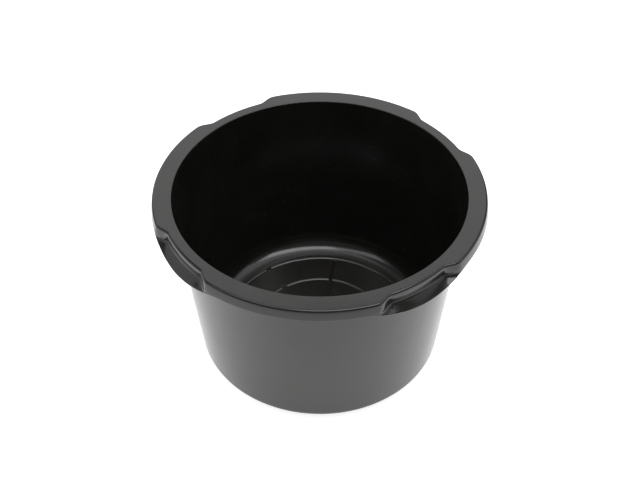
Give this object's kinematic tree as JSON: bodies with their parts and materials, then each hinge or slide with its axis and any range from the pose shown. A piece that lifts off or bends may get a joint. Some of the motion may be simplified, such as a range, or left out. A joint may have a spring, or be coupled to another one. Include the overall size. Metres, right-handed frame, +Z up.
{
  "type": "mortar mixing tub",
  "caption": "Round tapered plastic tub with a wide flanged rim, hand-holds let into the rim and a stepped, ribbed floor, for mixing mortar.",
  "frame": {"origin": "on the ground under the middle of the floor", "axes": "+Z up along the tub's axis; the hand-holds face +X (right), +Y (back), -X (left) and -Y (front)"},
  "size_m": [0.674, 0.674, 0.41],
  "materials": {
    "tub_plastic": "black recycled polyethylene, satin, faintly mottled"
  },
  "bodies": {
    "root": {"base_corner_back": "tub_plastic", "base_corner_back_left": "tub_plastic", "base_corner_back_right": "tub_plastic", "base_corner_front": "tub_plastic", "base_corner_front_left": "tub_plastic", "base_corner_front_right": "tub_plastic", "base_corner_left": "tub_plastic", "base_corner_right": "tub_plastic", "floor_centre": "tub_plastic", "floor_middle_ring": "tub_plastic", "floor_outer_ring": "tub_plastic", "hand_hold_ledge_back": "tub_plastic", "hand_hold_ledge_front": "tub_plastic", "hand_hold_ledge_left": "tub_plastic", "hand_hold_ledge_right": "tub_plastic", "hand_hold_lip_back": "tub_plastic", "hand_hold_lip_front": "tub_plastic", "hand_hold_lip_left": "tub_plastic", "hand_hold_lip_right": "tub_plastic", "hand_hold_recess_back": "tub_plastic", "hand_hold_recess_front": "tub_plastic", "hand_hold_recess_left": "tub_plastic", "hand_hold_recess_right": "tub_plastic", "rim_flange_back_left": "tub_plastic", "rim_flange_back_right": "tub_plastic", "rim_flange_front_left": "tub_plastic", "rim_flange_front_right": "tub_plastic", "rim_skirt_back_left": "tub_plastic", "rim_skirt_back_right": "tub_plastic", "rim_skirt_front_left": "tub_plastic", "rim_skirt_front_right": "tub_plastic", "side_wall_back": "tub_plastic", "side_wall_back_left": "tub_plastic", "side_wall_back_right": "tub_plastic", "side_wall_front": "tub_plastic", "side_wall_front_left": "tub_plastic", "side_wall_front_right": "tub_plastic", "side_wall_left": "tub_plastic", "side_wall_right": "tub_plastic"}
  },
  "joints": []
}
